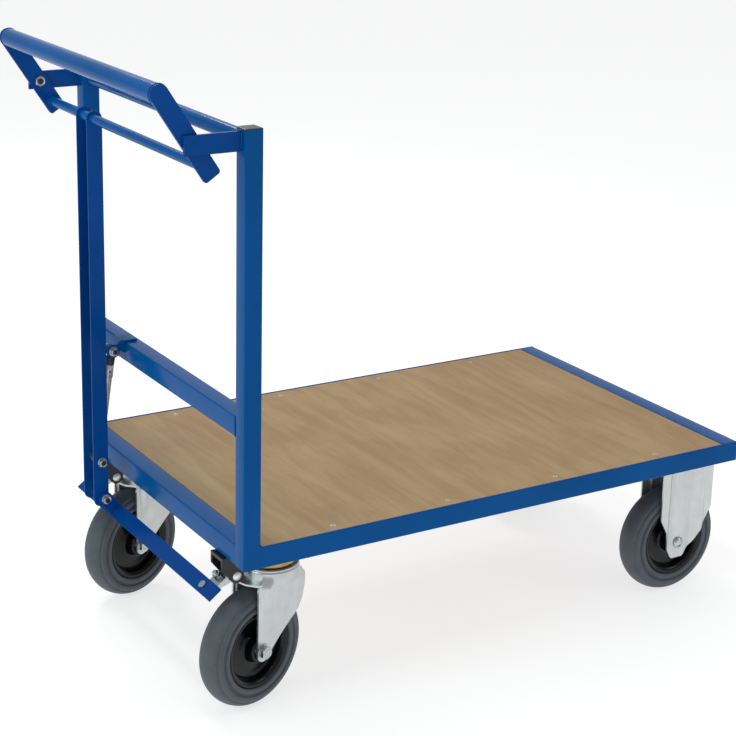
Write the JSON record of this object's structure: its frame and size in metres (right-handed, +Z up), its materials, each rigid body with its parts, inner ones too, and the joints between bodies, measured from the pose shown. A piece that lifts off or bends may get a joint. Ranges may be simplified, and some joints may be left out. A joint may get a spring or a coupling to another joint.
{
  "type": "platform trolley",
  "caption": "Flat-deck push trolley with a post-and-bar end frame, tilting brake handle, pull channel, gas strut and brake pedal bar, two swivel and two fixed castors.",
  "frame": {"origin": "on the floor, under the centre of the overall box", "axes": "+X from the handle end to the front, +Y to the left, +Z up"},
  "size_m": [1.1678, 0.6244, 1.0302],
  "materials": {
    "powder_coat_blue": "gloss powder coat on steel",
    "wood_board": "beech-faced board, satin lacquer",
    "black_plastic": "moulded polyamide",
    "black_steel": "black dip paint on pressed steel",
    "zinc_fasteners": "bright zinc plate",
    "zinc_sheet": "zinc-plated pressed sheet",
    "yellow_zinc": "yellow passivated zinc",
    "bright_rivets": "peened rivet heads",
    "grey_rubber": "grey non-marking solid rubber",
    "black_hub_plastic": "moulded polyamide rim",
    "bearing_cage": "roller bearing cage",
    "strut_tube": "silver painted tube",
    "chrome_rod": "hard chrome"
  },
  "bodies": {
    "frame": {"post_left": "powder_coat_blue", "post_right": "powder_coat_blue", "post_caps": "black_plastic", "side_rail_left": "powder_coat_blue", "side_rail_right": "powder_coat_blue", "end_rail_rear": "powder_coat_blue", "end_rail_front": "powder_coat_blue", "corner_gussets": "powder_coat_blue", "cross_bearers": "powder_coat_blue", "deck_board": "wood_board", "board_screws": "zinc_fasteners", "cross_member": "powder_coat_blue", "top_tube": "powder_coat_blue", "handle_brackets": "powder_coat_blue", "handle_pivot_bolts": "zinc_fasteners", "strut_bracket": "powder_coat_blue", "strut_pivot_bolt": "zinc_fasteners", "castor_base_left": "black_steel", "castor_base_right": "black_steel", "bearing_races": "yellow_zinc", "kingpins": "zinc_fasteners", "lug_rivets": "bright_rivets", "castor_fixings": "zinc_fasteners", "fixed_plates": "zinc_sheet", "fixed_fork_left": "zinc_sheet", "fixed_fork_right": "zinc_sheet", "fixed_axles": "zinc_fasteners"},
    "swivel_fork_l": {"swivel_fork_left": "zinc_sheet", "swivel_axle_left": "zinc_fasteners"},
    "swivel_fork_r": {"swivel_fork_right": "zinc_sheet", "swivel_axle_right": "zinc_fasteners"},
    "wheel_rear_left": {"tyre_rear_left": "grey_rubber", "hub_rear_left": "black_hub_plastic", "bearing_rear_left": "bearing_cage"},
    "wheel_rear_right": {"tyre_rear_right": "grey_rubber", "hub_rear_right": "black_hub_plastic", "bearing_rear_right": "bearing_cage"},
    "wheel_front_left": {"tyre_front_left": "grey_rubber", "hub_front_left": "black_hub_plastic", "bearing_front_left": "bearing_cage"},
    "wheel_front_right": {"tyre_front_right": "grey_rubber", "hub_front_right": "black_hub_plastic", "bearing_front_right": "bearing_cage"},
    "handle": {"push_bar": "powder_coat_blue", "lever_left": "powder_coat_blue", "lever_right": "powder_coat_blue", "lift_bar": "powder_coat_blue"},
    "pull_rod": {"pull_channel": "powder_coat_blue", "strut_foot_bolt": "zinc_fasteners", "pedal_bolt": "zinc_fasteners"},
    "pedal": {"pedal_bar": "powder_coat_blue", "pedal_ears": "powder_coat_blue", "brake_levers": "zinc_sheet", "brake_lever_bolts": "zinc_fasteners"},
    "strut_tube": {"strut_cylinder": "strut_tube", "strut_head_cap": "black_plastic"},
    "strut_piston": {"strut_rod": "chrome_rod", "strut_foot_eye": "black_plastic"}
  },
  "joints": [
    {"name": "handle_tilt", "type": "hinge", "parent": "frame", "child": "handle", "pos_m": [-0.51862, 0, 0.939], "axis": [0, -1, 0], "range_deg": [0, 24], "stiffness_Nm_per_rad": 6, "springref_deg": -57.3},
    {"name": "pull_rod_hinge", "type": "hinge", "parent": "handle", "child": "pull_rod", "pos_m": [-0.49451, 0.1372, 0.90243], "axis": [0, 1, 0], "range_deg": [0, 25.2]},
    {"name": "pedal_hinge", "type": "hinge", "parent": "frame", "child": "pedal", "pos_m": [-0.42212, 0, 0.23], "axis": [0, 1, 0], "range_deg": [0, 11.5]},
    {"name": "strut_hinge", "type": "hinge", "parent": "frame", "child": "strut_tube", "pos_m": [-0.46312, 0.1372, 0.499], "axis": [0, -1, 0], "range_deg": [0, 1]},
    {"name": "strut_slide", "type": "slide", "parent": "strut_tube", "child": "strut_piston", "axis": [0.1435, 0, 0.9896], "range_m": [0, 0.0135]},
    {"name": "castor_swivel_left", "type": "hinge", "parent": "frame", "child": "swivel_fork_l", "pos_m": [-0.35412, 0.233, 0.2], "axis": [0, 0, 1], "continuous": true},
    {"name": "castor_swivel_right", "type": "hinge", "parent": "frame", "child": "swivel_fork_r", "pos_m": [-0.35412, -0.233, 0.2], "axis": [0, 0, 1], "continuous": true},
    {"name": "wheel_spin_rear_left", "type": "hinge", "parent": "swivel_fork_l", "child": "wheel_rear_left", "pos_m": [-0.39404, 0.21995, 0.1], "axis": [-0.3107, 0.9505, 0], "continuous": true},
    {"name": "wheel_spin_rear_right", "type": "hinge", "parent": "swivel_fork_r", "child": "wheel_rear_right", "pos_m": [-0.39443, -0.24479, 0.1], "axis": [-0.2807, 0.9598, 0], "continuous": true},
    {"name": "wheel_spin_front_left", "type": "hinge", "parent": "frame", "child": "wheel_front_left", "pos_m": [0.48388, 0.228, 0.1], "axis": [0, 1, 0], "continuous": true},
    {"name": "wheel_spin_front_right", "type": "hinge", "parent": "frame", "child": "wheel_front_right", "pos_m": [0.48388, -0.228, 0.1], "axis": [0, 1, 0], "continuous": true}
  ],
  "couplings": [
    {"joint": "pull_rod_hinge", "follows": "handle_tilt", "ratio": 1.0379},
    {"joint": "pedal_hinge", "follows": "handle_tilt", "ratio": 0.4618},
    {"joint": "strut_hinge", "follows": "handle_tilt", "ratio": 0.0258},
    {"joint": "strut_slide", "follows": "handle_tilt", "m_per_rad": 0.03078}
  ]
}
